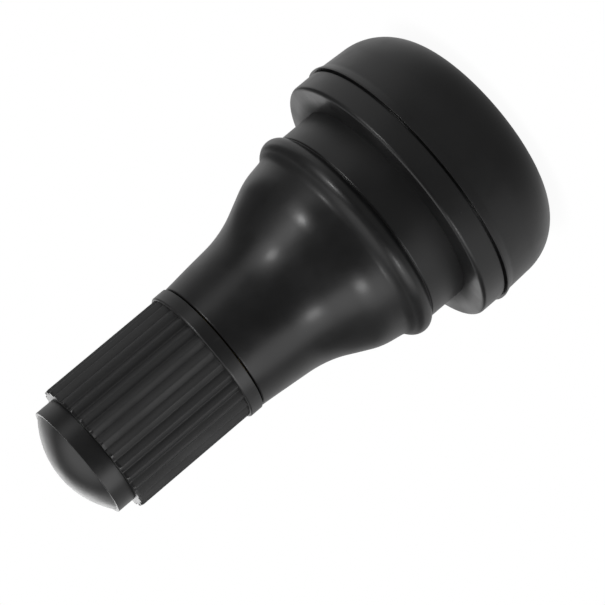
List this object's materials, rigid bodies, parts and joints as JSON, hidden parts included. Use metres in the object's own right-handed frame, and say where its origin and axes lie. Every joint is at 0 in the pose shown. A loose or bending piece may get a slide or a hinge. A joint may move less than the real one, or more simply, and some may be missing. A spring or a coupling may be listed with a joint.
{
  "type": "tyre valve",
  "caption": "Snap-in rubber tyre valve with a brass stem, a spring-loaded core and a ribbed screw cap with a domed top.",
  "frame": {"origin": "centre of the flat ring that the rubber head stands on", "axes": "+Z along the valve's axis, from the head towards the cap's dome"},
  "size_m": [0.0188, 0.0188, 0.0349],
  "materials": {
    "body_rubber": "moulded satin black",
    "stem_brass": "turned, bright",
    "cap_plastic": "moulded satin black",
    "washer_rubber": "matt black",
    "core_brass": "turned, plain",
    "seal_rubber": "matt black",
    "spring_steel": "drawn wire",
    "pin_plate": "nickel plate"
  },
  "bodies": {
    "stem": {"rubber_body": "body_rubber", "brass_stem": "stem_brass"},
    "washer": {"cap_washer": "washer_rubber"},
    "cap": {"valve_cap": "cap_plastic"},
    "barrel": {"core_barrel": "core_brass", "core_gasket": "seal_rubber", "core_spring": "spring_steel"},
    "plug": {"core_plug": "core_brass"},
    "pin": {"core_pin": "pin_plate", "pin_cup": "core_brass", "cup_seal": "seal_rubber"}
  },
  "joints": [
    {"name": "cap_lift", "type": "slide", "parent": "stem", "child": "washer", "axis": [0, 0, 1], "range_m": [0, 0.01032]},
    {"name": "cap_turn", "type": "hinge", "parent": "washer", "child": "cap", "pos_m": [0, 0, 0.0225], "axis": [0, 0, 1], "range_deg": [0, 4680]},
    {"name": "core_lift", "type": "slide", "parent": "stem", "child": "barrel", "axis": [0, 0, 1], "range_m": [0, 0.00141]},
    {"name": "core_turn", "type": "hinge", "parent": "barrel", "child": "plug", "pos_m": [0, 0, 0.02555], "axis": [0, 0, 1], "range_deg": [0, 720]},
    {"name": "pin_press", "type": "slide", "parent": "barrel", "child": "pin", "axis": [0, 0, 1], "range_m": [-0.001, 0], "stiffness_N_per_m": 400, "springref_m": 0.00001, "deforming": ["core_spring"]}
  ],
  "couplings": [
    {"joint": "cap_turn", "follows": "cap_lift", "rad_per_m": 7915.8},
    {"joint": "core_turn", "follows": "core_lift", "rad_per_m": 8905.3}
  ]
}
